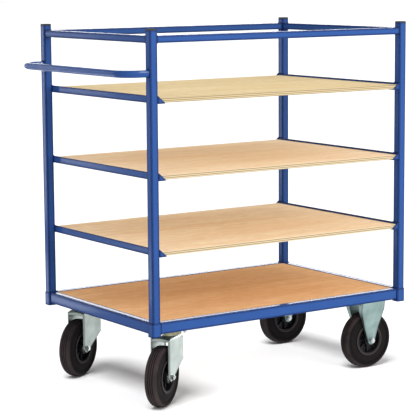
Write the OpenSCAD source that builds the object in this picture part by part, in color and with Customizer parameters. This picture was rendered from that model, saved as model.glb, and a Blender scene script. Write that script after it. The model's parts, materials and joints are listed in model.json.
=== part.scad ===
// Shelf trolley: a welded base on two swivel and two fixed casters, four posts, a top frame,
// three plywood shelves on angle supports and a bent push handle.
// Origin on the floor at the centre of the bounding box. The handle is at -X, the front at -Y.

/* [Wheels] */
// Outer diameter of each tyre
wheel_d = 215; // [190:5:240]
// Width of each tyre
wheel_w = 50; // [44:1:60]
// Radius of the rounded tyre shoulders
shoulder_r = 14; // [8:1:18]
// Radius of the seat between rim and tyre
rim_r = 56; // [50:1:62]
// Thickness of the rim's outer ring
rim_ring_t = 6; // [4:0.5:8]
// Thickness of the rim's web
rim_web_t = 8; // [6:0.5:12]
// Number of stiffening ribs on the rim
rim_ribs = 8; // [5:1:10]
// Outer radius of the hub
hub_r = 22; // [20:0.5:26]
// Outer radius of the roller bearing bush
bearing_r = 15; // [14:0.5:17]
// Outer radius of the axle sleeve
sleeve_r = 9.5; // [9:0.5:12]
// Wall of the collars at the ends of the bearing bush
collar_t = 1.5; // [1.5:0.5:2.5]
// Radius of the axle bolt
axle_r = 6; // [5:0.5:7]
// Width of the grooves around the tread
groove_w = 3; // [1.5:0.5:4]
// Depth of the grooves around the tread
groove_d = 2.5; // [1:0.5:3]
// Depth of the ring recess in each sidewall
sidewall_dip = 2; // [0.5:0.5:3]
// Distance of the ring recess from the rim and from the shoulder
dip_margin = 6; // [3:0.5:10]

/* [Caster forks] */
// Gap between the tyre and the folded leg edges
tyre_gap = 2.5; // [2:0.5:6]
// Depth of the bracket's folded leg edges, up to the leg's inner face
fold_depth = 6; // [4:0.5:12]
// Depth of the fork's folded leg edges, up to the leg's inner face
fork_fold = 2.5; // [1.5:0.5:6]
// Sheet thickness of forks and brackets
leg_t = 3.5; // [3:0.5:5]
// Gap between the bearing collars and the folds around the leg tips
tip_gap = 1; // [1:0.5:5]
// Height of the fork crown above the tyre
crown_rise = 34; // [28:1:42]
// Depth of the skirt that hangs from the fork crown
crown_skirt = 16; // [14:1:22]
// Outer bend radius of the fork crown
crown_bend = 12; // [8:1:16]
// Radius of the flat top of the fork crown
crown_flat_r = 46; // [40:1:50]
// Slope of the fork crown around its flat top, in degrees
crown_fall = 28; // [15:1:30]
// Distance of the crown's flat top behind the kingpin
crown_back = 12; // [0:1:16]
// Outer bend radius of the fork's upright folds
fold_bend = 6; // [6:0.5:10]
// Reach of the fork's front edge ahead of the axle
fork_front = 112; // [100:1:118]
// Height of the straight part of the fork's front edge
fork_front_h = 91; // [66:1:96]
// Distance of the axle behind the kingpin
trail = 51; // [45:1:56]
// Gap between the caster nuts and the sides of a fixed bracket
bracket_nut_gap = 3; // [2.5:0.5:5]
// Half the top length of a fixed bracket, along the rolling direction
bracket_half_l = 55; // [45:1:60]
// Height of the straight part at the top of a fixed bracket
bracket_straight = 46; // [36:1:60]
// Drop from the chassis to where the bracket's sides turn vertical
bracket_taper = 114; // [90:1:130]

/* [Swivel heads] */
// Height from the fork crown to the top plate
head_h = 18; // [16:1:40]
// Radius of the balls in the swivel race
ball_r = 5; // [4:0.5:5.5]
// Gap between the dust rings and the caster nuts
dust_nut_gap = 3; // [2:0.5:8]
// Wall of the dust ring
dust_wall = 3; // [2:0.5:4]
// Gap between dust ring and fork crown
dust_gap = 1.5; // [1:0.5:8]
// Radius of the kingpin
kingpin_r = 8; // [6:0.5:10]
// Radius of the kingpin's head
kingpin_head_r = 14; // [12:0.5:18]
// Thickness of the kingpin's head
kingpin_head_t = 8; // [5:0.5:10]

/* [Caster plates] */
// Bolt spacing along the caster plates
bolt_l = 100; // [95:1:115]
// Bolt spacing across the caster plates
bolt_w = 75; // [70:1:85]
// Radius of the caster bolts
bolt_r = 5; // [4:0.5:6]
// Distance from the bolts to the ends of the plates
plate_end = 15; // [12:0.5:20]
// Distance from the bolts to the sides of the plates
plate_side = 17.5; // [16:0.5:22]
// Thickness of the caster plates
plate_t = 5; // [4:0.5:8]
// Distance of the swivel kingpins from the post centres, along the trolley
swivel_inset_x = 101; // [95:1:140]
// Distance of the swivel kingpins from the post centres, across the trolley
swivel_inset_y = 76; // [74:1:120]
// Distance of the fixed wheels from the post centres, across the trolley
fixed_inset_y = 100; // [80:1:130]
// Angle to which the front swivel caster is turned
turn_front = 34; // [0:1:45]
// Angle to which the back swivel caster is turned
turn_back = 29; // [0:1:45]

/* [Base] */
// Distance between post centres along the trolley
post_span_x = 1100; // [900:10:1300]
// Distance between post centres across the trolley
post_span_y = 724; // [640:10:900]
// Height of the base rails
rail_h = 40; // [35:1:60]
// Width of the base rails
rail_w = 30; // [25:1:35]
// Wall of the base rails
rail_wall = 2; // [1.5:0.5:4]
// Wall of the corner sockets
socket_wall = 2.5; // [2:0.5:4]
// How far the sockets hang below the base rails
socket_drop = 9; // [0:1:15]
// Sheet thickness of the caster carriers
carrier_t = 5; // [4:0.5:8]
// Width of the carriers past the caster plates
carrier_margin = 10; // [6:1:20]
// Width of the deck ledges
ledge_w = 15; // [12:1:25]
// Thickness of the deck ledges
ledge_t = 4; // [3:0.5:5]
// Thickness of the deck board
deck_t = 15; // [12:0.5:18]
// How far the deck lies below the top of the base rails
deck_drop = 1; // [0:0.5:3]

/* [Posts and top frame] */
// Width of the square posts
post_w = 30; // [25:1:35]
// Wall of the posts
post_wall = 2; // [1.5:0.5:3]
// Corner radius of the posts
post_corner = 3; // [1.5:0.5:4]
// Height of the posts above the base
post_rise = 1003; // [900:1:1200]
// Thickness of the post caps above the posts
cap_t = 5; // [3:0.5:8]
// Depth of the plug of each cap
cap_plug = 12; // [6:1:20]
// Width of the square top rails
top_rail_w = 25; // [20:1:30]
// Wall of the top rails
top_rail_wall = 2; // [1.5:0.5:3]
// Distance of the top rails below the post ends
top_rail_drop = 18; // [5:1:60]

/* [Shelves] */
// Height of the lowest support's upper edge above the base
shelf_first = 254; // [200:1:280]
// Distance between the shelves
shelf_pitch = 263; // [220:1:280]
// Height of the supports' upright leg
support_h = 25; // [22:1:35]
// Width of the supports' flat leg
support_leg = 28; // [22:1:40]
// Thickness of the supports
support_t = 3; // [2.5:0.5:4]
// Thickness of the shelf boards
board_t = 15; // [12:0.5:18]
// Gap around the boards
board_gap = 1; // [0.5:0.5:3]

/* [Handle] */
// Height of the push handle above the base
handle_rise = 858; // [830:1:940]
// Distance of the bar from the posts
handle_reach = 90; // [75:1:150]
// Bend radius of the handle's tube, to its middle
handle_bend = 60; // [35:1:70]
// Diameter of the handle's tube
handle_d = 25; // [20:1:32]
// Wall of the handle's tube
handle_wall = 2; // [1.5:0.5:4]

/* [Screws] */
// Length of the board screws under the head
screw_l = 14; // [10:0.5:15]
// Radius of the board screws
screw_r = 2; // [1.5:0.25:2.5]
// Radius of the screw heads
screw_head_r = 4; // [3:0.5:5]
// Thickness of the screw heads
screw_head_t = 3; // [2:0.5:4]

/* [Hidden] */

// Roundness of curves, and the overrun of cutting shapes
$fn = 64;
over = 1;

// Clearances: running fits, bolts in holes, wheel hubs beside legs, kingpin head below the crown
run_gap = 0.05;
bolt_gap = 0.5;
hub_gap = 1;
pin_gap = 0.4;

// Ends in plan
handle_end = -1;
far_end = 1;
front = -1;
back = 1;

// Colours
blue = "royalblue";
beech = "burlywood";
deck_brown = "peru";
zinc = "lightsteelblue";
yellow_zinc = "darkkhaki";
black = "#222222";

// Heights from the floor up
wheel_r = wheel_d / 2;
crown_z = wheel_d + crown_rise;
plate_z = crown_z + head_h;
base_z = plate_z + plate_t;
base_top = base_z + rail_h;
deck_z = base_top - deck_drop - deck_t;
post_top = base_top + post_rise;
top_rail_z = post_top - top_rail_drop - top_rail_w;
handle_z = base_top + handle_rise;
shelf_tops = [for (i = [0:2]) base_top + shelf_first + i * shelf_pitch];

// Half sizes in plan
post_x = post_span_x / 2;
post_y = post_span_y / 2;
socket_w = post_w + 2 * socket_wall;
inner_x = post_x - socket_w / 2;
inner_y = post_y - socket_w / 2;
support_x = post_x - post_w / 2;
support_y = post_y + post_w / 2;

// Wheel and leg widths, measured from the middle of the wheel
slot_half = wheel_w / 2 + tyre_gap;
leg_in = slot_half + fold_depth;
leg_out = leg_in + leg_t;
hub_half = slot_half - hub_gap;
bearing_half = leg_in - hub_gap;
collar_r = sleeve_r + run_gap + collar_t;
fold_in = fold_bend - leg_t;
fold_cut = fold_in - sqrt(pow(fold_in, 2) - pow(max(0, fold_in - hub_gap), 2));
leg_tip_r = collar_r + tip_gap + fold_cut + leg_t;
fork_slot_half = leg_in - fork_fold;
nose_fall = max(0, fork_front - trail + crown_back - crown_flat_r) * tan(crown_fall);
axle_flats = 3 * axle_r;
axle_head_t = 1.25 * axle_r;
axle_nut_t = 1.6 * axle_r;
axle_tail = axle_r / 2;

// Swivel head: the two races sit within the flat of the crown and hold a full circle of balls
race_r = leg_out - crown_bend - 1;
ball_circle_r = race_r - ball_r - 2;
ball_count = floor(180 / asin(1.1 * ball_r / ball_circle_r));
ball_z = crown_z + head_h / 2;
track_gap = 0.4 * ball_r;

// Caster bolts
bolt_head_t = 1.28 * bolt_r;
bolt_nut_t = 1.6 * bolt_r;
bolt_tail = bolt_r;
bolt_flats = 3.2 * bolt_r;
bolt_corner_r = bolt_flats / sqrt(3);
bolt_rail_gap = 1;
dust_r = norm([bolt_l, bolt_w]) / 2 - bolt_corner_r - dust_nut_gap;

// Caster plates, and half the top width of a fixed bracket, whose sides enclose the nuts
plate_l = bolt_l + 2 * plate_end;
plate_w = bolt_w + 2 * plate_side;
bracket_top_half = bolt_w / 2 + bolt_corner_r + bracket_nut_gap + leg_t;

// Caster centres: the fixed bolts stand just clear of the far base rail
swivel_x = -(post_x - swivel_inset_x);
fixed_x = inner_x - bolt_rail_gap - bolt_corner_r - bolt_l / 2;
swivel_y = post_y - swivel_inset_y;
fixed_y = post_y - fixed_inset_y;
caster_centres = [
    for (s = [front, back]) [swivel_x, s * swivel_y],
    for (s = [front, back]) [fixed_x, s * fixed_y]
];
bolt_points = [
    for (c = caster_centres, i = [-1, 1], j = [-1, 1]) [c[0] + i * bolt_l / 2, c[1] + j * bolt_w / 2]
];

// The handle stands out at one end only and the front swivel tyre at one side, so the frame is set off
// from the origin
handle_x = post_x + post_w / 2 + handle_reach;
far_x = max(post_x + socket_w / 2, fixed_x + wheel_r);
frame_x = (handle_x + handle_d / 2 - far_x) / 2;
frame_half_y = post_y + socket_w / 2;
function tyre_half_y(turn) =
    (wheel_r - shoulder_r) * sin(turn) + (wheel_w / 2 - shoulder_r) * cos(turn) + shoulder_r;
front_y = max(frame_half_y, swivel_y + trail * sin(turn_front) + tyre_half_y(turn_front));
back_y = max(frame_half_y, swivel_y - trail * sin(turn_back) + tyre_half_y(turn_back));
frame_y = (front_y - back_y) / 2;

// Inner edges of the carriers, as distances from the middle of the frame
carrier_swivel_x = -swivel_x - plate_l / 2 - carrier_margin;
carrier_fixed_x = fixed_x - plate_l / 2 - carrier_margin;
bearer_half = rail_w / 2;

// Board screws: [x, y, underside height, thickness of what is screwed to the board]
screw_gap = 0.05;
screws_per_ledge = 3;
end_ledge_screws = [
    for (e = [handle_end, far_end], i = [0:screws_per_ledge - 1])
        [e * (inner_x - ledge_w / 2), inner_y * (i - 1) * 0.8, deck_z - ledge_t, ledge_t]
];
side_ledge_screws = [
    for (s = [front, back], t = [0.25, 0.75], c = [-carrier_swivel_x, carrier_fixed_x])
        [c * t, s * (inner_y - ledge_w / 2), deck_z - ledge_t, ledge_t]
];
deck_screws = concat(end_ledge_screws, side_ledge_screws);
support_screw_x = support_x - (support_leg + support_t) / 2;
shelf_screws = [
    for (z = shelf_tops, e = [handle_end, far_end], s = [front, back])
        [e * support_screw_x, s * support_y / 2, z - support_h, support_t]
];

// Shapes that repeat

module placed() {
    translate([frame_x, frame_y, 0]) children();
}

module rounded_rect(w, h, r) {
    square([w - 2 * r, h], center = true);
    square([w, h - 2 * r], center = true);
    for (i = [-1, 1], j = [-1, 1])
        translate([i * (w / 2 - r), j * (h / 2 - r)]) circle(r);
}

module rounded_square(size, r) {
    rounded_rect(size, size, r);
}

// Square tube standing upright
module upright_tube(w, wall, corner, h) {
    linear_extrude(h)
        difference() {
            rounded_square(w, corner);
            rounded_square(w - 2 * wall, max(corner - wall, 0.5));
        }
}

// Rectangular tube lying along X or Y, centred on the origin
module lying_tube(w, h, wall, l, along) {
    corner = 1.5 * wall;
    rotate(along == "x" ? [90, 0, 90] : [90, 0, 0])
        linear_extrude(l, center = true)
            difference() {
                rounded_rect(w, h, corner);
                rounded_rect(w - 2 * wall, h - 2 * wall, corner / 3);
            }
}

// Round bar along Y
module rod_y(from, to, r) {
    translate([0, from, 0]) rotate([-90, 0, 0]) cylinder(h = to - from, r = r);
}

// Six-sided bar along Y, given its width across flats
module hex_y(from, to, flats) {
    translate([0, from, 0]) rotate([-90, 0, 0]) cylinder(h = to - from, r = flats / sqrt(3), $fn = 6);
}

// Flat outline in X and Z, thickened along Y
module across(w) {
    rotate([90, 0, 0]) linear_extrude(w, center = true) children();
}

// Flat outline in Y and Z, thickened along X
module along(l) {
    rotate([90, 0, 90]) linear_extrude(l, center = true) children();
}

// Base

module base_rail_long(side) {
    color(blue)
        placed()
            translate([0, side * (inner_y + rail_w / 2), base_z + rail_h / 2])
                lying_tube(rail_w, rail_h, rail_wall, 2 * inner_x, "x");
}

module base_rail_short(end) {
    color(blue)
        placed()
            translate([end * (inner_x + rail_w / 2), 0, base_z + rail_h / 2])
                lying_tube(rail_w, rail_h, rail_wall, 2 * inner_y, "y");
}

module base_rail_front() { base_rail_long(front); }
module base_rail_back() { base_rail_long(back); }
module base_rail_handle_end() { base_rail_short(handle_end); }
module base_rail_far_end() { base_rail_short(far_end); }

module corner_sockets() {
    color(blue)
        placed()
            for (i = [-1, 1], j = [-1, 1])
                translate([i * post_x, j * post_y, base_z - socket_drop])
                    linear_extrude(rail_h + socket_drop)
                        difference() {
                            rounded_square(socket_w, post_corner + socket_wall);
                            rounded_square(post_w, post_corner);
                        }
}

// Angle across the base that carries a pair of casters: a flat web with a lip up to the deck
module carrier(end, inner_edge) {
    color(blue)
        placed()
            difference() {
                union() {
                    translate([end > 0 ? inner_edge : -inner_x, -inner_y, base_z])
                        cube([inner_x - inner_edge, 2 * inner_y, carrier_t]);
                    translate([end > 0 ? inner_edge : -inner_edge - carrier_t, -inner_y, base_z])
                        cube([carrier_t, 2 * inner_y, deck_z - base_z]);
                }
                for (p = bolt_points)
                    translate([p[0], p[1], base_z - over])
                        cylinder(h = carrier_t + 2 * over, r = bolt_r + bolt_gap);
            }
}

module carrier_swivel() { carrier(handle_end, carrier_swivel_x); }
module carrier_fixed() { carrier(far_end, carrier_fixed_x); }

module middle_bearer() {
    color(blue)
        placed()
            translate([0, 0, (base_z + deck_z) / 2])
                lying_tube(rail_w, deck_z - base_z, rail_wall, 2 * inner_y, "y");
}

// Flat bars inside the rails: one along each end, two along each side
module deck_ledges() {
    color(blue)
        placed()
            difference() {
                union() {
                    for (e = [handle_end, far_end])
                        translate([e * (inner_x - ledge_w / 2), 0, deck_z - ledge_t / 2])
                            cube([ledge_w, 2 * inner_y, ledge_t], center = true);
                    for (s = [front, back]) {
                        side_ledge(s, -carrier_swivel_x, -bearer_half);
                        side_ledge(s, bearer_half, carrier_fixed_x);
                    }
                }
                for (p = deck_screws)
                    translate([p[0], p[1], deck_z - ledge_t - over])
                        cylinder(h = ledge_t + 2 * over, r = screw_r + screw_gap);
            }
}

module side_ledge(side, from, to) {
    translate([from, side * (inner_y - ledge_w / 2) - ledge_w / 2, deck_z - ledge_t])
        cube([to - from, ledge_w, ledge_t]);
}

module deck_board() {
    color(deck_brown)
        placed()
            difference() {
                translate([board_gap - inner_x, board_gap - inner_y, deck_z])
                    cube([2 * (inner_x - board_gap), 2 * (inner_y - board_gap), deck_t]);
                screw_holes(deck_screws);
            }
}

// Posts and top frame

module post(end, side) {
    color(blue)
        placed()
            translate([end * post_x, side * post_y, base_z])
                upright_tube(post_w, post_wall, post_corner, post_top - base_z);
}

module post_handle_front() { post(handle_end, front); }
module post_handle_back() { post(handle_end, back); }
module post_far_front() { post(far_end, front); }
module post_far_back() { post(far_end, back); }

// Plugs with a stepped head
module post_caps() {
    plug_w = post_w - 2 * post_wall;
    plug_corner = max(post_corner - post_wall, 0.5);
    color(black)
        placed()
            for (i = [-1, 1], j = [-1, 1])
                translate([i * post_x, j * post_y, post_top]) {
                    linear_extrude(cap_t - 1) rounded_square(post_w, post_corner);
                    linear_extrude(cap_t) rounded_square(post_w - 2, post_corner - 1);
                    translate([0, 0, -cap_plug])
                        linear_extrude(cap_plug) rounded_square(plug_w, plug_corner);
                }
}

module top_rail_long(side) {
    color(blue)
        placed()
            translate([0, side * post_y, top_rail_z + top_rail_w / 2])
                lying_tube(top_rail_w, top_rail_w, top_rail_wall, post_span_x - post_w, "x");
}

module top_rail_short(end) {
    color(blue)
        placed()
            translate([end * post_x, 0, top_rail_z + top_rail_w / 2])
                lying_tube(top_rail_w, top_rail_w, top_rail_wall, post_span_y - post_w, "y");
}

module top_rail_front() { top_rail_long(front); }
module top_rail_back() { top_rail_long(back); }
module top_rail_handle_end() { top_rail_short(handle_end); }
module top_rail_far_end() { top_rail_short(far_end); }

// Shelves

// Angle on the inner faces of two posts, closed by a triangular plate at each end
module support(level, end) {
    angle_outline = [
        [0, 0], [support_leg, 0], [support_leg, support_t], [support_t, support_t],
        [support_t, support_h], [0, support_h]
    ];
    plate_outline = [
        [0, 0], [support_leg, 0], [support_leg, support_t], [support_t, support_h], [0, support_h]
    ];
    color(blue)
        placed()
            difference() {
                mirror([end > 0 ? 1 : 0, 0, 0])
                    translate([-support_x, 0, shelf_tops[level] - support_h]) {
                        across(2 * support_y) polygon(angle_outline);
                        for (s = [front, back])
                            translate([0, s * (support_y - support_t / 2), 0])
                                across(support_t) polygon(plate_outline);
                    }
                for (p = shelf_screws)
                    translate([p[0], p[1], p[2] - over])
                        cylinder(h = support_t + 2 * over, r = screw_r + screw_gap);
            }
}

module support_low_handle() { support(0, handle_end); }
module support_low_far() { support(0, far_end); }
module support_mid_handle() { support(1, handle_end); }
module support_mid_far() { support(1, far_end); }
module support_top_handle() { support(2, handle_end); }
module support_top_far() { support(2, far_end); }

module shelf(level) {
    half_x = support_x - support_t - board_gap;
    half_y = support_y - support_t - board_gap;
    color(beech)
        placed()
            difference() {
                translate([-half_x, -half_y, shelf_tops[level] - support_h + support_t])
                    cube([2 * half_x, 2 * half_y, board_t]);
                screw_holes(shelf_screws);
            }
}

module shelf_low() { shelf(0); }
module shelf_mid() { shelf(1); }
module shelf_top() { shelf(2); }

module screw_holes(points) {
    for (p = points)
        translate([p[0], p[1], p[2] + p[3] - over])
            cylinder(h = screw_l - p[3] + over + screw_gap, r = screw_r + screw_gap);
}

module board_screws() {
    color("silver")
        placed()
            for (p = concat(deck_screws, shelf_screws))
                translate([p[0], p[1], p[2] - screw_head_t]) {
                    cylinder(h = screw_head_t, r = screw_head_r);
                    cylinder(h = screw_head_t + screw_l, r = screw_r);
                }
}

// Handle

module handle_path(r) {
    arm = handle_reach - handle_bend;
    bar_half = post_y - handle_bend;
    for (s = [front, back]) {
        translate([-handle_x + handle_reach, s * post_y, handle_z])
            rotate([0, -90, 0]) cylinder(h = arm, r = r);
        translate([-handle_x + handle_bend, s * bar_half, handle_z])
            rotate([0, 0, s > 0 ? 90 : 180])
                rotate_extrude(angle = 90) translate([handle_bend, 0]) circle(r);
    }
    translate([-handle_x, 0, handle_z]) rod_y(-bar_half, bar_half, r);
}

module push_handle() {
    color(blue)
        placed()
            difference() {
                handle_path(handle_d / 2);
                handle_path(handle_d / 2 - handle_wall);
            }
}

// Caster fasteners

module caster_bolts() {
    stem = carrier_t + plate_t + bolt_nut_t + bolt_tail;
    color("silver")
        placed()
            for (p = bolt_points)
                translate([p[0], p[1], base_z + carrier_t]) {
                    cylinder(h = bolt_head_t, r = bolt_corner_r, $fn = 6);
                    translate([0, 0, -stem]) cylinder(h = stem + bolt_head_t / 2, r = bolt_r);
                }
}

module caster_nuts() {
    color("silver")
        placed()
            for (p = bolt_points)
                translate([p[0], p[1], plate_z - bolt_nut_t])
                    difference() {
                        cylinder(h = bolt_nut_t, r = bolt_corner_r, $fn = 6);
                        translate([0, 0, -over]) cylinder(h = bolt_nut_t + 2 * over, r = bolt_r + run_gap);
                    }
}

// Wheels: drawn about the axle, which lies along Y

module tyre_section() {
    half = wheel_w / 2;
    flat_half = half - shoulder_r;
    shoulder_x = wheel_r - shoulder_r;
    dip_from = rim_r + dip_margin;
    dip_to = shoulder_x - dip_margin;
    difference() {
        union() {
            translate([rim_r, -half]) square([shoulder_x - rim_r, wheel_w]);
            translate([rim_r, -flat_half]) square([wheel_r - rim_r, 2 * flat_half]);
            for (s = [-1, 1]) translate([shoulder_x, s * flat_half]) circle(shoulder_r);
        }
        for (y = [-1, 0, 1] * flat_half * 0.7)
            translate([wheel_r - groove_d, y - groove_w / 2]) square([groove_d + over, groove_w]);
        for (s = [-1, 1])
            translate([dip_from, s * half - sidewall_dip]) square([dip_to - dip_from, 2 * sidewall_dip]);
    }
}

module tyre() {
    color("#1d1b1c")
        rotate([90, 0, 0]) rotate_extrude() tyre_section();
}

module rim() {
    ring_in = rim_r - rim_ring_t;
    ring_half = wheel_w / 2 - 1;
    rib_half = wheel_w / 4;
    color(black)
        rotate([90, 0, 0]) {
            rotate_extrude() {
                translate([ring_in, -ring_half]) square([rim_ring_t, 2 * ring_half]);
                translate([bearing_r, -rim_web_t / 2]) square([ring_in - bearing_r + over, rim_web_t]);
                translate([bearing_r, -hub_half]) square([hub_r - bearing_r, 2 * hub_half]);
            }
            for (i = [0:rim_ribs - 1])
                rotate(i * 360 / rim_ribs)
                    translate([hub_r - over, -rim_web_t / 4, -rib_half])
                        cube([ring_in - hub_r + 2 * over, rim_web_t / 2, 2 * rib_half]);
        }
}

module bearing() {
    color("gray")
        difference() {
            union() {
                rod_y(-hub_half, hub_half, bearing_r);
                rod_y(-bearing_half, bearing_half, collar_r);
            }
            rod_y(-bearing_half - over, bearing_half + over, sleeve_r + run_gap);
        }
}

module sleeve() {
    color("silver")
        difference() {
            rod_y(-leg_in, leg_in, sleeve_r);
            rod_y(-leg_in - over, leg_in + over, axle_r + run_gap);
        }
}

// Bolt with its head at the back and its nut at the front
module axle() {
    color("silver") {
        hex_y(leg_out, leg_out + axle_head_t, axle_flats);
        rod_y(-leg_out - axle_nut_t - axle_tail, leg_out + axle_head_t / 2, axle_r);
        difference() {
            hex_y(-leg_out - axle_nut_t, -leg_out, axle_flats);
            rod_y(-leg_out - axle_nut_t - over, -leg_out + over, axle_r + run_gap);
        }
    }
}

module axle_holes() {
    rod_y(-leg_out - over, leg_out + over, axle_r + run_gap);
}

// End of a line from p to the circle of radius r around c, on the lower right: it runs just inside the
// touching line, so that it meets the circle at a slight angle
function touch(p, c, r) =
    let (d = p - c, a = atan2(d[1], d[0]) - acos(r / norm(d)))
    c + 0.98 * r * [cos(a), sin(a)];

// Swivel casters: drawn about the kingpin, with the wheel trailing towards -X

module at_swivel(side, turn) {
    placed() translate([swivel_x, side * swivel_y, 0]) rotate(turn) children();
}

module at_swivel_wheel(side, turn) {
    at_swivel(side, turn) translate([-trail, 0, wheel_r]) children();
}

module at_fixed_wheel(side) {
    placed() translate([fixed_x, side * fixed_y, wheel_r]) children();
}

module fork_outline(inset) {
    c = [-trail, wheel_r];
    r = leg_tip_r - inset;
    top = crown_z - inset;
    front_x = fork_front - trail - inset;
    shoulder = [front_x, crown_z - fork_front_h];
    polygon([[c[0] - r, c[1]], [c[0] - r, top], [front_x, top], shoulder, touch(shoulder, c, r), c]);
    translate(c) circle(r);
}

// Plan of the fork, with rounded upright corners
module fork_plan(inset) {
    rear_x = -trail - leg_tip_r + inset;
    front_x = fork_front - trail - inset;
    translate([(rear_x + front_x) / 2, 0])
        rounded_rect(front_x - rear_x, 2 * (leg_out - inset), fold_bend - inset);
}

// Upside-down U with rounded upper corners
module crown_section(half, top, r) {
    translate([-half, 0]) square([2 * half, top - r]);
    translate([r - half, 0]) square([2 * (half - r), top]);
    for (s = [-1, 1]) translate([s * (half - r), top - r]) circle(r);
}

// Cone that slopes the crown down all round its flat top
module crown_cone(inset) {
    top = crown_z - inset;
    flat_r = crown_flat_r - inset * tan(crown_fall / 2);
    translate([-crown_back, 0, 0]) cylinder(h = top, r1 = flat_r + top / tan(crown_fall), r2 = flat_r);
}

module ball_track() {
    translate([0, 0, ball_z])
        rotate_extrude() translate([ball_circle_r, 0]) circle(ball_r + run_gap);
}

module fork() {
    length = 3 * fork_front;
    slot_top = crown_z - crown_skirt;
    color(zinc)
        difference() {
            union() {
                difference() {
                    intersection() {
                        across(2 * leg_out + 2 * over) fork_outline(0);
                        along(length) crown_section(leg_out, crown_z, crown_bend);
                        linear_extrude(crown_z + over) fork_plan(0);
                        crown_cone(0);
                    }
                    intersection() {
                        across(2 * leg_in + 2 * over) fork_outline(leg_t);
                        along(length) crown_section(leg_in, crown_z - leg_t, crown_bend - leg_t);
                        linear_extrude(crown_z + over) fork_plan(leg_t);
                        crown_cone(leg_t);
                    }
                }
                translate([0, 0, crown_z - leg_t / 2])
                    cylinder(h = ball_z - track_gap - crown_z + leg_t / 2, r = race_r);
            }
            translate([-length, -fork_slot_half, 0]) cube([length + over, 2 * fork_slot_half, slot_top]);
            translate([0, -fork_slot_half, 0]) cube([length, 2 * fork_slot_half, slot_top - nose_fall]);
            translate([0, 0, slot_top]) cylinder(h = head_h + crown_skirt, r = kingpin_r + run_gap);
            ball_track();
            translate([-trail, 0, wheel_r]) axle_holes();
        }
}

module swivel_plate() {
    color(zinc)
        difference() {
            union() {
                translate([-plate_l / 2, -plate_w / 2, plate_z]) cube([plate_l, plate_w, plate_t]);
                translate([0, 0, ball_z + track_gap])
                    cylinder(h = plate_z - ball_z - track_gap + plate_t / 2, r = race_r);
            }
            ball_track();
            translate([0, 0, ball_z]) cylinder(h = head_h + plate_t, r = kingpin_r);
            for (i = [-1, 1], j = [-1, 1])
                translate([i * bolt_l / 2, j * bolt_w / 2, plate_z - over])
                    cylinder(h = plate_t + 2 * over, r = bolt_r + bolt_gap);
        }
}

module dust_ring() {
    low = crown_z + dust_gap;
    color(yellow_zinc)
        translate([0, 0, low])
            difference() {
                cylinder(h = plate_z - low, r = dust_r);
                translate([0, 0, -over]) cylinder(h = plate_z - low + 2 * over, r = dust_r - dust_wall);
            }
}

module kingpin() {
    head_top = crown_z - leg_t - pin_gap;
    color("silver") {
        translate([0, 0, head_top - kingpin_head_t]) cylinder(h = kingpin_head_t, r = kingpin_head_r);
        translate([0, 0, head_top - kingpin_head_t / 2])
            cylinder(h = base_z - head_top + kingpin_head_t / 2, r = kingpin_r);
    }
}

module ball_set() {
    color("silver")
        for (i = [0:ball_count - 1])
            rotate(i * 360 / ball_count) translate([ball_circle_r, 0, ball_z]) sphere(ball_r);
}

module at_both_swivels() {
    at_swivel(front, 0) children();
    at_swivel(back, 0) children();
}

module swivel_plate_front() { at_swivel(front, 0) swivel_plate(); }
module swivel_plate_back() { at_swivel(back, 0) swivel_plate(); }
module dust_rings() { at_both_swivels() dust_ring(); }
module kingpins() { at_both_swivels() kingpin(); }
module swivel_balls() { at_both_swivels() ball_set(); }
module swivel_fork_front() { at_swivel(front, turn_front) fork(); }
module swivel_fork_back() { at_swivel(back, turn_back) fork(); }
module swivel_axle_front() { at_swivel_wheel(front, turn_front) axle(); }
module swivel_axle_back() { at_swivel_wheel(back, turn_back) axle(); }
module swivel_sleeve_front() { at_swivel_wheel(front, turn_front) sleeve(); }
module swivel_sleeve_back() { at_swivel_wheel(back, turn_back) sleeve(); }
module swivel_rim_front() { at_swivel_wheel(front, turn_front) rim(); }
module swivel_rim_back() { at_swivel_wheel(back, turn_back) rim(); }
module swivel_tyre_front() { at_swivel_wheel(front, turn_front) tyre(); }
module swivel_tyre_back() { at_swivel_wheel(back, turn_back) tyre(); }
module swivel_bearing_front() { at_swivel_wheel(front, turn_front) bearing(); }
module swivel_bearing_back() { at_swivel_wheel(back, turn_back) bearing(); }

// Fixed casters: drawn about the axle's middle, at floor height

module bracket_outline(inset) {
    c = [0, wheel_r];
    r = leg_tip_r - inset;
    half = bracket_half_l - inset;
    shoulder = [half, base_z - bracket_straight];
    low = touch(shoulder, c, r);
    polygon([
        [-half, base_z], [half, base_z], shoulder, low, c, [-low[0], low[1]], [-shoulder[0], shoulder[1]]
    ]);
    translate(c) circle(r);
}

// Sides that lean in from the plate and stand upright beside the wheel
module bracket_section(inset) {
    top = bracket_top_half - inset;
    low = leg_out - inset;
    knee = base_z - bracket_taper;
    polygon([[-low, 0], [low, 0], [low, knee], [top, base_z], [-top, base_z], [-low, knee]]);
}

module bracket() {
    length = 3 * bracket_half_l;
    nut_room = plate_z - bolt_nut_t - bolt_tail - 2;
    color(zinc)
        difference() {
            union() {
                difference() {
                    intersection() {
                        across(2 * bracket_top_half + 2 * over) bracket_outline(0);
                        along(length) bracket_section(0);
                    }
                    intersection() {
                        across(2 * bracket_top_half + 2 * over) bracket_outline(leg_t);
                        along(length) bracket_section(leg_t);
                    }
                    intersection() {
                        translate([-length / 2, -bracket_top_half, nut_room])
                            cube([length, 2 * bracket_top_half, base_z - nut_room]);
                        along(length) bracket_section(leg_t);
                    }
                }
                translate([-plate_l / 2, -plate_w / 2, plate_z]) cube([plate_l, plate_w, plate_t]);
            }
            translate([-length / 2, -slot_half, 0]) cube([length, 2 * slot_half, nut_room + over]);
            translate([0, 0, wheel_r]) axle_holes();
            for (i = [-1, 1], j = [-1, 1])
                translate([i * bolt_l / 2, j * bolt_w / 2, plate_z - over])
                    cylinder(h = plate_t + 2 * over, r = bolt_r + bolt_gap);
        }
}

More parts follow.
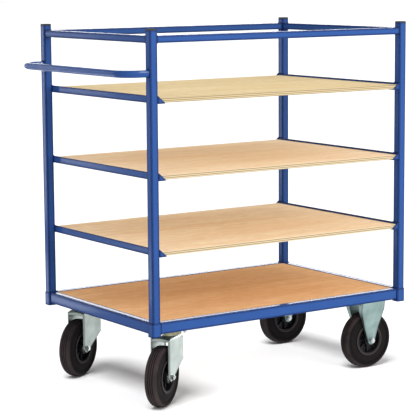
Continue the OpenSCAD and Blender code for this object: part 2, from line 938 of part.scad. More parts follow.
module fixed_bracket(side) {
    placed() translate([fixed_x, side * fixed_y, 0]) bracket();
}

module at_both_fixed_wheels() {
    at_fixed_wheel(front) children();
    at_fixed_wheel(back) children();
}

module fixed_bracket_front() { fixed_bracket(front); }
module fixed_bracket_back() { fixed_bracket(back); }
module fixed_axles() { at_both_fixed_wheels() axle(); }
module fixed_sleeves() { at_both_fixed_wheels() sleeve(); }
module fixed_rim_front() { at_fixed_wheel(front) rim(); }
module fixed_rim_back() { at_fixed_wheel(back) rim(); }
module fixed_tyre_front() { at_fixed_wheel(front) tyre(); }
module fixed_tyre_back() { at_fixed_wheel(back) tyre(); }
module fixed_bearing_front() { at_fixed_wheel(front) bearing(); }
module fixed_bearing_back() { at_fixed_wheel(back) bearing(); }

base_rail_front();
base_rail_back();
base_rail_handle_end();
base_rail_far_end();
corner_sockets();
carrier_swivel();
carrier_fixed();
middle_bearer();
deck_ledges();
deck_board();
post_handle_front();
post_handle_back();
post_far_front();
post_far_back();
post_caps();
top_rail_front();
top_rail_back();
top_rail_handle_end();
top_rail_far_end();
support_low_handle();
support_low_far();
support_mid_handle();
support_mid_far();
support_top_handle();
support_top_far();
shelf_low();
shelf_mid();
shelf_top();
push_handle();
board_screws();
caster_bolts();
caster_nuts();
swivel_plate_front();
swivel_plate_back();
dust_rings();
kingpins();
swivel_balls();
swivel_fork_front();
swivel_fork_back();
swivel_axle_front();
swivel_axle_back();
swivel_sleeve_front();
swivel_sleeve_back();
swivel_rim_front();
swivel_rim_back();
swivel_tyre_front();
swivel_tyre_back();
swivel_bearing_front();
swivel_bearing_back();
fixed_bracket_front();
fixed_bracket_back();
fixed_axles();
fixed_sleeves();
fixed_rim_front();
fixed_rim_back();
fixed_tyre_front();
fixed_tyre_back();
fixed_bearing_front();
fixed_bearing_back();
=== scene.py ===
import json
import math

import bmesh
import bpy
from mathutils import Matrix, Vector


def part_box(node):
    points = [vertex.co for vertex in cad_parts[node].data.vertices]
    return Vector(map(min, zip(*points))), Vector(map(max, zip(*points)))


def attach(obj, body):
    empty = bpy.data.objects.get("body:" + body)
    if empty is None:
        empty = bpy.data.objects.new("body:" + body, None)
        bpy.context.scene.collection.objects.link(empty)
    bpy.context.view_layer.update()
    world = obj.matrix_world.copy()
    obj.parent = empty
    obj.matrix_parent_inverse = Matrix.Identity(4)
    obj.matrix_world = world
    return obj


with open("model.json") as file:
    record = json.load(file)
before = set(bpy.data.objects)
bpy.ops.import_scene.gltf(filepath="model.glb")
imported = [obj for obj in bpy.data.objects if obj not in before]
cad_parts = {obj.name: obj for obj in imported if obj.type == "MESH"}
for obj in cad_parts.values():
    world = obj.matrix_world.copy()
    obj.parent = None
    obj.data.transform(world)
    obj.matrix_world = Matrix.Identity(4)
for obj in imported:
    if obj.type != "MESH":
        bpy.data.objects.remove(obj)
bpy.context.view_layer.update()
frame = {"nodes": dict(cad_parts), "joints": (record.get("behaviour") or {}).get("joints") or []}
nodes = frame["nodes"]


# Base frame: rectangular steel tubes welded between four corner sockets, with two folded carriers for
# the casters, a bearer across the middle and flat ledges for the deck. The welded frame is sprayed with
# one blue powder, which is baked to a satin film with a faint orange peel.
mm = 0.001


def linear(hex_text):
    """sRGB hex text to a linear colour."""
    parts = [int(hex_text[i:i + 2], 16) / 255 for i in (1, 3, 5)]
    return [c / 12.92 if c <= 0.04045 else ((c + 0.055) / 1.055) ** 2.4 for c in parts] + [1.0]


def add(tree, kind, inputs=(), **settings):
    """Adds a shader node, sets its options and fills its inputs with values or links.

    A colour Mix takes its share at 0 and its colours at 6 and 7. A MapRange takes its value at 0, and
    turns the range from 1 to 2 into the range from 3 to 4.
    """
    new = tree.nodes.new("ShaderNode" + kind)
    for name, value in settings.items():
        setattr(new, name, value)
    for key, value in dict(inputs).items():
        if isinstance(value, bpy.types.NodeSocket):
            tree.links.new(value, new.inputs[key])
        else:
            new.inputs[key].default_value = value
    return new


def new_material(name):
    """An empty material with its Principled shader."""
    made = bpy.data.materials.new(name)
    made.use_nodes = True
    return made, made.node_tree, made.node_tree.nodes["Principled BSDF"]


def edges(tree, radius, strength):
    """How far each spot lies on an edge or bend: 0 on flats, up to strength where the surface turns."""
    rounded = add(tree, "Bevel", {"Radius": radius}, samples=6).outputs["Normal"]
    flat = add(tree, "NewGeometry").outputs["Normal"]
    turned = add(tree, "VectorMath", {0: rounded, 1: flat}, operation="DOT_PRODUCT").outputs["Value"]
    return add(tree, "MapRange", {0: turned, 1: 0.999, 2: 0.95, 3: 0.0, 4: strength}).outputs["Result"]


def finish_nodes(names, made):
    """Gives CAD nodes one material."""
    for name in names:
        mesh = nodes[name].data
        mesh.materials.clear()
        mesh.materials.append(made)


# Blue polyester powder coat on steel: a satin film over rounded tube corners, duller along the edges,
# where painted shade also darkens it. The tone drifts a little along the frame. The orange peel is about
# 2 mm across in life and is drawn at 6 mm so that it shows.
drift_size = 180 * mm
peel_size = 6 * mm
peel_depth = 0.4 * mm
corner_radius = 6 * mm
edge_shade_size = 9 * mm
dull_edge = 16 * mm
powder_coat, tree, shader = new_material("blue_polyester_powder_coat")
place = add(tree, "TexCoord").outputs["Object"]
drift = add(tree, "TexNoise", {"Vector": place, "Scale": 1 / drift_size, "Detail": 3.0}).outputs["Fac"]
peel = add(tree, "TexNoise", {"Vector": place, "Scale": 1 / peel_size, "Detail": 1.0}).outputs["Fac"]
blue = add(
    tree, "Mix", {0: drift, 6: linear("#254278"), 7: linear("#2a4b88")}, data_type="RGBA"
).outputs[2]
# Painted shade: the blue turns dark navy along the edges and corners
edge_shade = edges(tree, edge_shade_size, 0.95)
tone = add(tree, "Mix", {0: edge_shade, 6: blue, 7: linear("#0a1640")}, data_type="RGBA").outputs[2]
film = add(tree, "MapRange", {0: peel, 1: 0.3, 2: 0.7, 3: 0.10, 4: 0.15}).outputs["Result"]
dull = edges(tree, dull_edge, 0.6)
gloss = add(tree, "Math", {0: film, 1: dull}, operation="ADD").outputs[0]
corners = add(tree, "Bevel", {"Radius": corner_radius}, samples=6).outputs["Normal"]
skin = add(
    tree, "Bump", {"Strength": 0.04, "Distance": peel_depth, "Height": peel, "Normal": corners}
).outputs["Normal"]
shader.inputs["Specular IOR Level"].default_value = 0.05
tree.links.new(tone, shader.inputs["Base Color"])
tree.links.new(gloss, shader.inputs["Roughness"])
tree.links.new(skin, shader.inputs["Normal"])

along_x = 0
along_y = 1
base_rails = {
    "base_rail_front": along_x,
    "base_rail_back": along_x,
    "base_rail_handle_end": along_y,
    "base_rail_far_end": along_y,
}
base_fittings = ["corner_sockets", "carrier_swivel", "carrier_fixed", "middle_bearer", "deck_ledges"]
finish_nodes(list(base_rails) + base_fittings, powder_coat)

# Weld beads: a ring of ripples where each tube end meets its neighbour, coated with the frame
bead_sides = 8
bead_ripple = 4 * mm
steps_per_ripple = 4
bead_dip = 0.18


def rail_end_paths(rails):
    """Closed weld paths around both ends of rails, each named with the axis that it runs along."""
    paths = []
    for name, axis in rails.items():
        lo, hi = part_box(name)
        a, b = [i for i in range(3) if i != axis]
        for at in (lo[axis], hi[axis]):
            ring = []
            for s, t in ((lo, lo), (hi, lo), (hi, hi), (lo, hi)):
                corner = Vector((0, 0, 0))
                corner[axis] = at
                corner[a] = s[a]
                corner[b] = t[b]
                ring.append(corner)
            paths.append((ring, True))
    return paths


def bead_spine(points, closed):
    """Closely spaced points along a weld path."""
    ends = points + points[:1] if closed else points
    spine = []
    for p, q in zip(ends, ends[1:]):
        steps = max(2, round((q - p).length / (bead_ripple / steps_per_ripple)))
        spine += [p.lerp(q, i / steps) for i in range(steps)]
    if not closed:
        spine.append(ends[-1])
    return spine


def bead_ring(mesh, middle, along, radius):
    """A ring of mesh corners across a bead."""
    side = along.orthogonal().normalized()
    if abs(along.z) < 0.9:
        side = along.cross(Vector((0, 0, 1))).normalized()
    other = along.cross(side)
    ring = []
    for k in range(bead_sides):
        turn = 2 * math.pi * k / bead_sides
        ring.append(mesh.verts.new(middle + radius * (math.cos(turn) * side + math.sin(turn) * other)))
    return ring


def weld_beads(name, paths, radius):
    """Rippled weld beads along paths, each given as (points, closed)."""
    mesh = bmesh.new()
    for points, closed in paths:
        spine = bead_spine(points, closed)
        count = len(spine)
        rings = []
        for i, middle in enumerate(spine):
            before = spine[i - 1] if closed or i else middle
            after = spine[(i + 1) % count] if closed or i < count - 1 else middle
            wave = abs(math.sin(math.pi * i / steps_per_ripple))
            swell = radius * (1 - bead_dip + bead_dip * wave)
            rings.append(bead_ring(mesh, middle, (after - before).normalized(), swell))
        next_rings = rings[1:] + rings[:1] if closed else rings[1:]
        for r, s in zip(rings, next_rings):
            for k in range(bead_sides):
                n = (k + 1) % bead_sides
                mesh.faces.new((r[k], r[n], s[n], s[k]))
        if not closed:
            mesh.faces.new(rings[0][::-1])
            mesh.faces.new(rings[-1])
    bmesh.ops.recalc_face_normals(mesh, faces=mesh.faces)
    data = bpy.data.meshes.new(name)
    mesh.to_mesh(data)
    mesh.free()
    for face in data.polygons:
        face.use_smooth = True
    piece = bpy.data.objects.new(name, data)
    bpy.context.scene.collection.objects.link(piece)
    data.materials.append(powder_coat)
    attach(piece, "chassis")


rail_bead = 3 * mm
weld_beads("base_weld_beads", rail_end_paths(base_rails), rail_bead)


# Deck board: 15 mm birch plywood laid between the base rails on the ledges and screwed from below.
# Rotary-cut veneer gives broad wavy figure along the board, and its lacquer has yellowed.
def along_grain(tree, place, length, width, detail, wander=0.0):
    """A pattern of marks of about one length and width, lying along the board."""
    stretch = (1 / length, 1 / width, 1.0)
    spots = add(tree, "VectorMath", {0: place, 1: stretch}, operation="MULTIPLY").outputs[0]
    marks = {"Vector": spots, "Scale": 1.0, "Detail": detail, "Distortion": wander}
    return add(tree, "TexNoise", marks).outputs["Fac"]


def plywood(name, pale, dark, line, backing, ply_pale, ply_dark, matt):
    """Matt lacquered plywood: figured veneer above, plain backing below, plies on the edges."""
    made, tree, shader = new_material(name)
    spots = add(tree, "TexCoord")
    place = spots.outputs["Object"]
    # Figure: bands of 40 to 60 mm that wander over about 0.6 m
    figure = along_grain(tree, place, 600 * mm, 50 * mm, 3.0, 0.6)
    # Fibres: under 1 mm wide in life, drawn 3 mm wide and 120 mm long so that they show
    fibre = along_grain(tree, place, 120 * mm, 3 * mm, 2.0)
    # Flecks: 8 by 1 mm in life, drawn 40 by 14 mm so that they show at a low angle
    fleck = along_grain(tree, place, 40 * mm, 14 * mm, 3.0)
    broad = add(tree, "MapRange", {0: figure, 1: 0.32, 2: 0.68, 3: 0.0, 4: 1.0}).outputs["Result"]
    sawn = add(tree, "Mix", {0: broad, 6: linear(pale), 7: linear(dark)}, data_type="RGBA").outputs[2]
    fine = add(tree, "MapRange", {0: fleck, 1: 0.35, 2: 0.7, 3: 0.0, 4: 0.34}).outputs["Result"]
    veneer = add(tree, "Mix", {0: fine, 6: sawn, 7: linear(line)}, data_type="RGBA").outputs[2]
    dash = add(tree, "MapRange", {0: fibre, 1: 0.56, 2: 0.74, 3: 0.0, 4: 0.5}).outputs["Result"]
    face = add(tree, "Mix", {0: dash, 6: veneer, 7: linear(line)}, data_type="RGBA").outputs[2]
    plain = add(tree, "Mix", {0: dash, 6: linear(backing), 7: linear(line)}, data_type="RGBA").outputs[2]
    # Plies: 1.5 mm each in life, drawn 3 mm thick so that they show
    height = add(tree, "SeparateXYZ", {0: place}).outputs["Z"]
    layer = add(tree, "Math", {0: height, 1: 3 * mm}, operation="PINGPONG").outputs[0]
    glued = add(tree, "MapRange", {0: layer, 1: 0.8 * mm, 2: 2.2 * mm, 3: 0.0, 4: 1.0}).outputs["Result"]
    plies = add(
        tree, "Mix", {0: glued, 6: linear(ply_pale), 7: linear(ply_dark)}, data_type="RGBA"
    ).outputs[2]
    # Faces that look up show the veneer, those that look down the backing, and the rest the plies
    upright = add(tree, "SeparateXYZ", {0: spots.outputs["Normal"]}).outputs["Z"]
    above = add(tree, "Math", {0: upright, 1: 0.5}, operation="GREATER_THAN").outputs[0]
    below = add(tree, "Math", {0: upright, 1: -0.5}, operation="LESS_THAN").outputs[0]
    upper = add(tree, "Mix", {0: above, 6: plies, 7: face}, data_type="RGBA").outputs[2]
    tone = add(tree, "Mix", {0: below, 6: upper, 7: plain}, data_type="RGBA").outputs[2]
    dull = add(tree, "MapRange", {0: fibre, 1: 0.3, 2: 0.7, 3: matt, 4: matt + 0.12}).outputs["Result"]
    pores = add(tree, "Bump", {"Strength": 0.08, "Distance": 0.3 * mm, "Height": fibre}).outputs["Normal"]
    shader.inputs["Specular IOR Level"].default_value = 0.0
    tree.links.new(tone, shader.inputs["Base Color"])
    tree.links.new(dull, shader.inputs["Roughness"])
    tree.links.new(pores, shader.inputs["Normal"])
    return made


# Lacquered birch plywood of the deck: a warm brown, with a matt film that hides all gloss
deck_plywood = plywood(
    "lacquered_birch_plywood_deck",
    pale="#e9bd90",
    dark="#dfae7e",
    line="#c48f5c",
    backing="#9b9184",
    ply_pale="#c8a070",
    ply_dark="#94704a",
    matt=0.5,
)
finish_nodes(["deck_board"], deck_plywood)


# Posts and top frame: square steel tubes, the rails butted between the posts and welded all round, then
# coated with the base. Black polyethylene plugs close the tops of the posts.
posts = ["post_handle_front", "post_handle_back", "post_far_front", "post_far_back"]
top_rails = {
    "top_rail_front": along_x,
    "top_rail_back": along_x,
    "top_rail_handle_end": along_y,
    "top_rail_far_end": along_y,
}
finish_nodes(posts + list(top_rails), powder_coat)
weld_beads("top_frame_weld_beads", rail_end_paths(top_rails), rail_bead)

# Moulded polyethylene: dull black, greyer where it is handled, with the faint grain of a spark-eroded
# mould, which is drawn at 2 mm so that it shows
mould_grain = 2 * mm
handled_patch = 20 * mm
cap_plastic, tree, shader = new_material("moulded_black_polyethylene")
place = add(tree, "TexCoord").outputs["Object"]
grain = add(tree, "TexNoise", {"Vector": place, "Scale": 1 / mould_grain, "Detail": 2.0}).outputs["Fac"]
handled = add(
    tree, "TexNoise", {"Vector": place, "Scale": 1 / handled_patch, "Detail": 3.0}
).outputs["Fac"]
tone = add(
    tree, "Mix", {0: handled, 6: linear("#161617"), 7: linear("#2b2b2e")}, data_type="RGBA"
).outputs[2]
dull = add(tree, "MapRange", {0: handled, 1: 0.3, 2: 0.7, 3: 0.45, 4: 0.6}).outputs["Result"]
bumps = add(tree, "Bump", {"Strength": 0.15, "Distance": 0.3 * mm, "Height": grain}).outputs["Normal"]
tree.links.new(tone, shader.inputs["Base Color"])
tree.links.new(dull, shader.inputs["Roughness"])
tree.links.new(bumps, shader.inputs["Normal"])
finish_nodes(["post_caps"], cap_plastic)


# Shelf supports: steel angles welded to the inner faces of the posts, each closed at both ends by a
# small triangular plate that keeps the board from sliding out. Coated with the frame.
supports = [f"support_{level}_{end}" for level in ("low", "mid", "top") for end in ("handle", "far")]
finish_nodes(supports, powder_coat)
support_bead = 2.6 * mm
post_lo, post_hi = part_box("post_handle_front")
post_width = post_hi.y - post_lo.y
support_paths = []
for name in supports:
    lo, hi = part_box(name)
    at = lo.x if name.endswith("handle") else hi.x
    for outer, inner in ((lo.y, lo.y + post_width), (hi.y, hi.y - post_width)):
        points = [Vector((at, outer, hi.z)), Vector((at, inner, hi.z)), Vector((at, inner, lo.z))]
        support_paths.append((points, False))
weld_beads("support_weld_beads", support_paths, support_bead)


# Shelf boards: the same birch plywood as the deck, resting in the angles and screwed from below, in paler
# tones. The middle board is the palest, with painted light against the shade of the board above it, and
# the top one the darkest and yellowest, with painted shade against the stronger light that falls on it.
shelf_plywood = plywood(
    "lacquered_birch_plywood_shelf",
    pale="#f6dfc1",
    dark="#efd0ac",
    line="#d0ae80",
    backing="#c9bda6",
    ply_pale="#c0b093",
    ply_dark="#7d6f58",
    matt=0.48,
)
finish_nodes(["shelf_low"], shelf_plywood)
# Middle board: painted light, a paler copy of the shelf plywood
mid_plywood_painted_light = plywood(
    "lacquered_birch_plywood_mid_shelf",
    pale="#f8e2c5",
    dark="#f2d5b3",
    line="#d8b88d",
    backing="#c9bda6",
    ply_pale="#c0b093",
    ply_dark="#7d6f58",
    matt=0.48,
)
finish_nodes(["shelf_mid"], mid_plywood_painted_light)
# Top board: painted shade, a darker and yellower copy of the shelf plywood
top_plywood_painted_shade = plywood(
    "lacquered_birch_plywood_top_shelf",
    pale="#e6d4ad",
    dark="#dbc497",
    line="#bea06e",
    backing="#c9bda6",
    ply_pale="#b8a888",
    ply_dark="#7d6f55",
    matt=0.48,
)
finish_nodes(["shelf_top"], top_plywood_painted_shade)


# Push handle: round steel tube bent to a U and welded all round to the outer faces of two posts, then
# coated with the frame.
finish_nodes(["push_handle"], powder_coat)
handle_bead = 3.2 * mm
ring_points = 48
lo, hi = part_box("push_handle")
tube_r = (hi.z - lo.z) / 2
handle_paths = []
for y in (lo.y + tube_r, hi.y - tube_r):
    ring = []
    for k in range(ring_points):
        turn = 2 * math.pi * k / ring_points
        ring.append(Vector((hi.x, y + tube_r * math.cos(turn), lo.z + tube_r + tube_r * math.sin(turn))))
    handle_paths.append((ring, True))
weld_beads("handle_weld_beads", handle_paths, handle_bead)


# Fasteners and axles: bolts, nuts, screws, kingpins and axle bolts in bright zinc-plated steel. The
# plating is smooth and slightly blue, with dull patches where a spanner or thumb has been. Its pickling
# grain is under 0.5 mm in life and is drawn at 1.5 mm so that it shows.
pickle_grain = 1.5 * mm


def plated(name, pale, dark, rough, patch_size, bend_radius):
    """Plated or ground steel: a metal whose tone and gloss drift in soft patches, with painted shade at
    bends.
    """
    made, tree, shader = new_material(name)
    place = add(tree, "TexCoord").outputs["Object"]
    drift = add(tree, "TexNoise", {"Vector": place, "Scale": 1 / patch_size, "Detail": 4.0}).outputs["Fac"]
    pickled = add(
        tree, "TexNoise", {"Vector": place, "Scale": 1 / pickle_grain, "Detail": 1.0}
    ).outputs["Fac"]
    patch = add(tree, "MapRange", {0: drift, 1: 0.35, 2: 0.65, 3: 0.0, 4: 1.0}).outputs["Result"]
    cloudy = add(tree, "Mix", {0: patch, 6: linear(pale), 7: linear(dark)}, data_type="RGBA").outputs[2]
    # Bends: painted shade, a darker grey where the surface turns at bends and edges
    bend_shade = edges(tree, bend_radius, 0.75)
    tone = add(tree, "Mix", {0: bend_shade, 6: cloudy, 7: linear("#5f6866")}, data_type="RGBA").outputs[2]
    gloss = add(tree, "MapRange", {0: drift, 1: 0.3, 2: 0.7, 3: rough, 4: rough + 0.14}).outputs["Result"]
    bumps = add(
        tree, "Bump", {"Strength": 0.05, "Distance": 0.2 * mm, "Height": pickled}
    ).outputs["Normal"]
    shader.inputs["Metallic"].default_value = 1.0
    tree.links.new(tone, shader.inputs["Base Color"])
    tree.links.new(gloss, shader.inputs["Roughness"])
    tree.links.new(bumps, shader.inputs["Normal"])
    return made


bright_zinc = plated("bright_zinc_plated_steel", "#d6dada", "#b9bfbf", 0.24, 12 * mm, 0.5 * mm)
fasteners = ["board_screws", "caster_bolts", "caster_nuts", "kingpins"]
axle_bolts = ["swivel_axle_front", "swivel_axle_back", "fixed_axles"]
finish_nodes(fasteners + axle_bolts, bright_zinc)


# Caster pressings: top plates, swivel forks and fixed brackets, pressed from sheet of about 4 mm and zinc
# plated after pressing. The swivel casters are passivated clear and stay grey, the fixed ones are
# passivated blue and keep a faint green-blue cast.
sheet_patch = 50 * mm
sheet_bend = 9 * mm
clear_zinc = plated("clear_passivated_zinc_sheet", "#a6afab", "#909a96", 0.36, sheet_patch, sheet_bend)
swivel_pressings = ["swivel_plate_front", "swivel_plate_back", "swivel_fork_front", "swivel_fork_back"]
finish_nodes(swivel_pressings, clear_zinc)
blue_zinc = plated("blue_passivated_zinc_sheet", "#97aeac", "#839897", 0.36, sheet_patch, sheet_bend)
finish_nodes(["fixed_bracket_front", "fixed_bracket_back"], blue_zinc)


# Dust rings: turned steel rings around the ball races, zinc plated and yellow passivated, so they shift
# between straw and olive.
yellow_zinc = plated("yellow_passivated_zinc", "#92927a", "#767561", 0.36, 20 * mm, 1 * mm)
finish_nodes(["dust_rings"], yellow_zinc)


# Balls, axle sleeves and bearing bushes: steel ground bright and left bare, with a thin film of grease
# that dulls it in small patches.
ground_steel = plated("ground_bearing_steel", "#b9b9ba", "#9d9c9b", 0.22, 10 * mm, 0.5 * mm)
sleeves = ["swivel_sleeve_front", "swivel_sleeve_back", "fixed_sleeves"]
bearings = ["swivel_bearing_front", "swivel_bearing_back", "fixed_bearing_front", "fixed_bearing_back"]
finish_nodes(["swivel_balls"] + sleeves + bearings, ground_steel)


# Rims: moulded black polyamide with a web, ribs and a long hub, pressed into the tyre. Satin, with grey
# scuffs and the same slight mould grain as the post caps.
scuff_size = 30 * mm
rim_plastic, tree, shader = new_material("moulded_black_polyamide")
place = add(tree, "TexCoord").outputs["Object"]
grain = add(tree, "TexNoise", {"Vector": place, "Scale": 1 / mould_grain, "Detail": 2.0}).outputs["Fac"]
scuff = add(tree, "TexNoise", {"Vector": place, "Scale": 1 / scuff_size, "Detail": 5.0}).outputs["Fac"]
patch = add(tree, "MapRange", {0: scuff, 1: 0.5, 2: 0.75, 3: 0.0, 4: 1.0}).outputs["Result"]
tone = add(
    tree, "Mix", {0: patch, 6: linear("#121115"), 7: linear("#1e1d21")}, data_type="RGBA"
).outputs[2]
dull = add(tree, "MapRange", {0: scuff, 1: 0.3, 2: 0.7, 3: 0.38, 4: 0.55}).outputs["Result"]
bumps = add(tree, "Bump", {"Strength": 0.1, "Distance": 0.3 * mm, "Height": grain}).outputs["Normal"]
shader.inputs["Specular IOR Level"].default_value = 0.2
tree.links.new(tone, shader.inputs["Base Color"])
tree.links.new(dull, shader.inputs["Roughness"])
tree.links.new(bumps, shader.inputs["Normal"])
finish_nodes(["swivel_rim_front", "swivel_rim_back", "fixed_rim_front", "fixed_rim_back"], rim_plastic)


# Tyres: solid black rubber moulded with three fine grooves in the tread and a sunk ring in each
# sidewall, then pressed over the rims. Floor dust and painted light grey the tread, and a painted
# highlight makes a pale line beside the rim.
tyre_lo, tyre_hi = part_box("fixed_tyre_front")
rim_lo, rim_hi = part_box("fixed_rim_front")
tyre_r = (tyre_hi.z - tyre_lo.z) / 2
rim_r = (rim_hi.z - rim_lo.z) / 2
shoulder_in = tyre_r - 11.5 * mm
shoulder_out = tyre_r - 4.5 * mm
groove_in = tyre_r - 2 * mm
groove_out = tyre_r - 0.5 * mm
grooved_half = 9.8 * mm
sunk_in = tyre_r - 21 * mm
sunk_out = tyre_r - 20 * mm
bead_in = rim_r + 3 * mm
bead_out = rim_r + 4 * mm


def rubber(name, spin):
    """Solid rubber about one axle: a matt black sidewall and a brown-grey tread of dust and painted light.
    """
    made, tree, shader = new_material(name)
    place = add(tree, "TexCoord").outputs["Object"]
    bloom = add(tree, "TexNoise", {"Vector": place, "Scale": 1 / (60 * mm), "Detail": 4.0}).outputs["Fac"]
    # Rubber grain: about 0.5 mm in life, drawn at 2 mm so that it shows
    grain = add(tree, "TexNoise", {"Vector": place, "Scale": 1 / (2 * mm), "Detail": 2.0}).outputs["Fac"]
    # Distance from the axle and along it
    spoke = add(tree, "VectorMath", {0: place, 1: spin["pos_m"]}, operation="SUBTRACT").outputs[0]
    along = add(tree, "VectorMath", {0: spoke, 1: spin["axis"]}, operation="PROJECT").outputs[0]
    across = add(tree, "VectorMath", {0: spoke, 1: along}, operation="SUBTRACT").outputs[0]
    radius = add(tree, "VectorMath", {0: across}, operation="LENGTH").outputs["Value"]
    offset = add(tree, "VectorMath", {0: along}, operation="LENGTH").outputs["Value"]
    # Dust and painted light: on the shoulders, and on the tread but not down in its grooves
    shoulder = add(
        tree, "MapRange", {0: radius, 1: shoulder_in, 2: shoulder_out, 3: 0.0, 4: 1.0}
    ).outputs["Result"]
    raised = add(
        tree, "MapRange", {0: radius, 1: groove_in, 2: groove_out, 3: 0.0, 4: 1.0}
    ).outputs["Result"]
    grooved = add(tree, "Math", {0: offset, 1: grooved_half}, operation="LESS_THAN").outputs[0]
    rolled = add(tree, "Mix", {0: grooved, 2: shoulder, 3: raised}).outputs[0]
    dust_and_painted_light = add(tree, "Math", {0: rolled, 1: bloom}, operation="MULTIPLY").outputs[0]
    # Sunk ring, and a painted highlight: a pale line beside the rim, drawn 3 mm wide so that it shows
    sunk = add(tree, "MapRange", {0: radius, 1: sunk_out, 2: sunk_in, 3: 0.0, 4: 1.0}).outputs["Result"]
    bead_highlight = add(tree, "MapRange", {0: radius, 1: bead_out, 2: bead_in, 3: 0.0, 4: 1.0}).outputs["Result"]
    patch = add(tree, "MapRange", {0: bloom, 1: 0.35, 2: 0.7, 3: 0.0, 4: 1.0}).outputs["Result"]
    black = add(
        tree, "Mix", {0: patch, 6: linear("#0b0a0b"), 7: linear("#161314")}, data_type="RGBA"
    ).outputs[2]
    ringed = add(tree, "Mix", {0: sunk, 6: black, 7: linear("#161313")}, data_type="RGBA").outputs[2]
    # Painted highlight: the pale line beside the rim
    lined = add(tree, "Mix", {0: bead_highlight, 6: ringed, 7: linear("#3b3638")}, data_type="RGBA").outputs[2]
    # Tread tone: partly floor dust, partly painted light
    tone = add(tree, "Mix", {0: dust_and_painted_light, 6: lined, 7: linear("#433a3b")}, data_type="RGBA").outputs[2]
    dull = add(tree, "MapRange", {0: bloom, 1: 0.3, 2: 0.7, 3: 0.55, 4: 0.72}).outputs["Result"]
    bumps = add(tree, "Bump", {"Strength": 0.12, "Distance": 0.4 * mm, "Height": grain}).outputs["Normal"]
    shader.inputs["Specular IOR Level"].default_value = 0.06
    tree.links.new(tone, shader.inputs["Base Color"])
    tree.links.new(dull, shader.inputs["Roughness"])
    tree.links.new(bumps, shader.inputs["Normal"])
    return made


joints = {joint["name"]: joint for joint in frame["joints"]}
for kind in ("swivel", "fixed"):
    for side in ("front", "back"):
        tyre_rubber = rubber(f"moulded_black_rubber_{kind}_{side}", joints[f"{kind}_wheel_{side}_spin"])
        finish_nodes([f"{kind}_tyre_{side}"], tyre_rubber)


# Studio: pale grey paper that runs out of sight in a bright white room, with one soft key light in
# front. White cards give the paint and the zinc something to reflect, and a broad light from above
# brings the paper up to white.
floor_half = 60.0
floor_corners = [
    (-floor_half, -floor_half, 0),
    (floor_half, -floor_half, 0),
    (floor_half, floor_half, 0),
    (-floor_half, floor_half, 0),
]
floor_mesh = bpy.data.meshes.new("studio_floor")
floor_mesh.from_pydata(floor_corners, [], [(0, 1, 2, 3)])
floor = bpy.data.objects.new("studio_floor", floor_mesh)
bpy.context.scene.collection.objects.link(floor)
floor_paper, tree, shader = new_material("matt_pale_grey_paper")
shader.inputs["Base Color"].default_value = linear("#b4b4b4")
shader.inputs["Roughness"].default_value = 0.9
floor_mesh.materials.append(floor_paper)

room = bpy.data.worlds.new("white_room")
bpy.context.scene.world = room
room.use_nodes = True
backdrop = room.node_tree.nodes["Background"]
backdrop.inputs["Color"].default_value = linear("#ffffff")
backdrop.inputs["Strength"].default_value = 1.0


def soft_light(name, place, aim, width, height, power, tint):
    """A rectangular soft box that faces a point."""
    lamp = bpy.data.lights.new(name, "AREA")
    lamp.shape = "RECTANGLE"
    lamp.size = width
    lamp.size_y = height
    lamp.energy = power
    lamp.color = linear(tint)[:3]
    box = bpy.data.objects.new(name, lamp)
    box.location = place
    box.rotation_euler = (Vector(aim) - Vector(place)).to_track_quat("-Z", "Y").to_euler()
    bpy.context.scene.collection.objects.link(box)
    return box


key = soft_light("key_soft_box", (0.8, -4.7, 2.3), (0.0, 0.0, 0.6), 2.6, 2.6, 215.0, "#fffaf2")
key.visible_glossy = False


def wearing(finishes):
    """All pieces that wear one of the finishes."""
    pieces = [piece for piece in bpy.context.scene.objects if piece.type == "MESH"]
    return [piece for piece in pieces if piece.data.materials[0] in finishes]


def group(name, pieces):
    """A collection of pieces, for a light to be kept to them."""
    made = bpy.data.collections.new(name)
    for piece in pieces:
        made.objects.link(piece)
    return made


def gloss_card(name, place, aim, width, height, power, pieces):
    """A white card that shows only in the gloss of one group of pieces."""
    card = soft_light(name, place, aim, width, height, power, "#ffffff")
    card.visible_diffuse = False
    card.visible_camera = False
    card.light_linking.receiver_collection = pieces


# Cards for the paint: one behind and one high in front for all of it, and two behind to the left, one
# standing and one lying on the floor, for the steel of the handle end
painted = group("painted_steel", wearing([powder_coat]))
handle_rails = ["base_rail_handle_end", "top_rail_handle_end", "corner_sockets", "push_handle"]
handle_end = group("handle_end_steel", [nodes[name] for name in handle_rails + posts + supports])
gloss_card("back_card", (2.6, 4.0, 1.5), (2.6, 0.0, 1.5), 5.0, 3.0, 190.0, painted)
gloss_card("left_card", (-1.9, 4.0, 1.5), (-1.9, 0.0, 1.5), 2.1, 3.0, 120.0, handle_end)
gloss_card("front_card", (2.2, -2.5, 5.0), (-0.6, -0.36, 1.15), 2.0, 2.0, 1500.0, painted)
gloss_card("low_card", (-1.5, 1.9, 0.02), (-1.5, 1.9, 1.0), 1.6, 1.4, 40.0, handle_end)

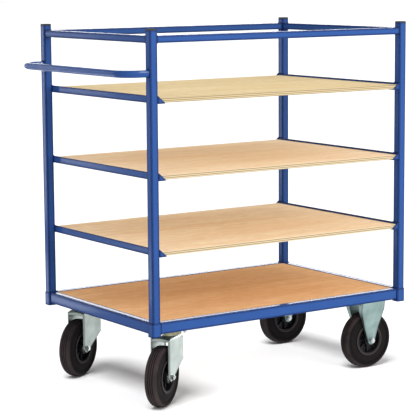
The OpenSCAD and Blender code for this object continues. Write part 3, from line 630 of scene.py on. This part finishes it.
# Cards for the zinc, at the far end: the back fork looks along a dimmer one than the rest
end_place = (3.6, 0.05, 0.6)
end_aim = (0.0, -0.2, 0.3)
zinc = wearing([bright_zinc, clear_zinc, blue_zinc, yellow_zinc, ground_steel])
back_fork = group("back_fork", [nodes["swivel_fork_back"]])
other_zinc = group("plated_steel", [piece for piece in zinc if piece != nodes["swivel_fork_back"]])
gloss_card("end_card", end_place, end_aim, 1.4, 1.6, 250.0, other_zinc)
gloss_card("dim_end_card", end_place, end_aim, 1.4, 1.6, 95.0, back_fork)

# Broad light on the paper alone, from above and a little to the left. Only the casters and the carriers
# above them shade it.
running_gear = ("swivel", "fixed", "carrier", "dust_rings", "kingpins")
shading = [piece for name, piece in nodes.items() if name.startswith(running_gear)]
falling = Vector((0.42, 0.28, -0.86))
lamp = bpy.data.lights.new("paper_light", "SUN")
lamp.energy = 6.2
lamp.angle = math.radians(30.0)
paper_light = bpy.data.objects.new("paper_light", lamp)
paper_light.rotation_euler = falling.to_track_quat("-Z", "Y").to_euler()
bpy.context.scene.collection.objects.link(paper_light)
paper_light.visible_glossy = False
paper_light.visible_camera = False
paper_light.light_linking.receiver_collection = group("paper_floor", [floor])
paper_light.light_linking.blocker_collection = group("running_gear", shading)

bpy.context.scene.view_settings.view_transform = "Standard"
bpy.context.scene.view_settings.look = "None"


# Camera: a little above the top frame and about 6.4 m away, looking down slightly across the handle
# corner. Its place is counted from the middle of the base, at the height of the rails.
photo_width_px = 418.0
focal_length_px = 1720.0
sensor_mm = 36.0
pan = -34.465
look_down = 8.022
lean = -0.404
stand_left = 3.6788
stand_front = 5.2566
stand_above = 1.2136
lens = bpy.data.cameras.new("studio_camera")
lens.sensor_width = sensor_mm
lens.lens = focal_length_px / photo_width_px * sensor_mm
lens.clip_end = 300.0
camera = bpy.data.objects.new("studio_camera", lens)
turn = Matrix.Rotation(math.radians(pan), 4, "Z")
tilt = Matrix.Rotation(math.radians(90.0 - look_down), 4, "X")
roll = Matrix.Rotation(math.radians(lean), 4, "Z")
front_lo, front_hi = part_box("base_rail_front")
middle = (front_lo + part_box("base_rail_back")[1]) / 2
stand = Vector((middle.x - stand_left, middle.y - stand_front, front_hi.z + stand_above))
camera.matrix_world = Matrix.Translation(stand) @ turn @ tilt @ roll
bpy.context.scene.collection.objects.link(camera)
bpy.context.scene.camera = camera
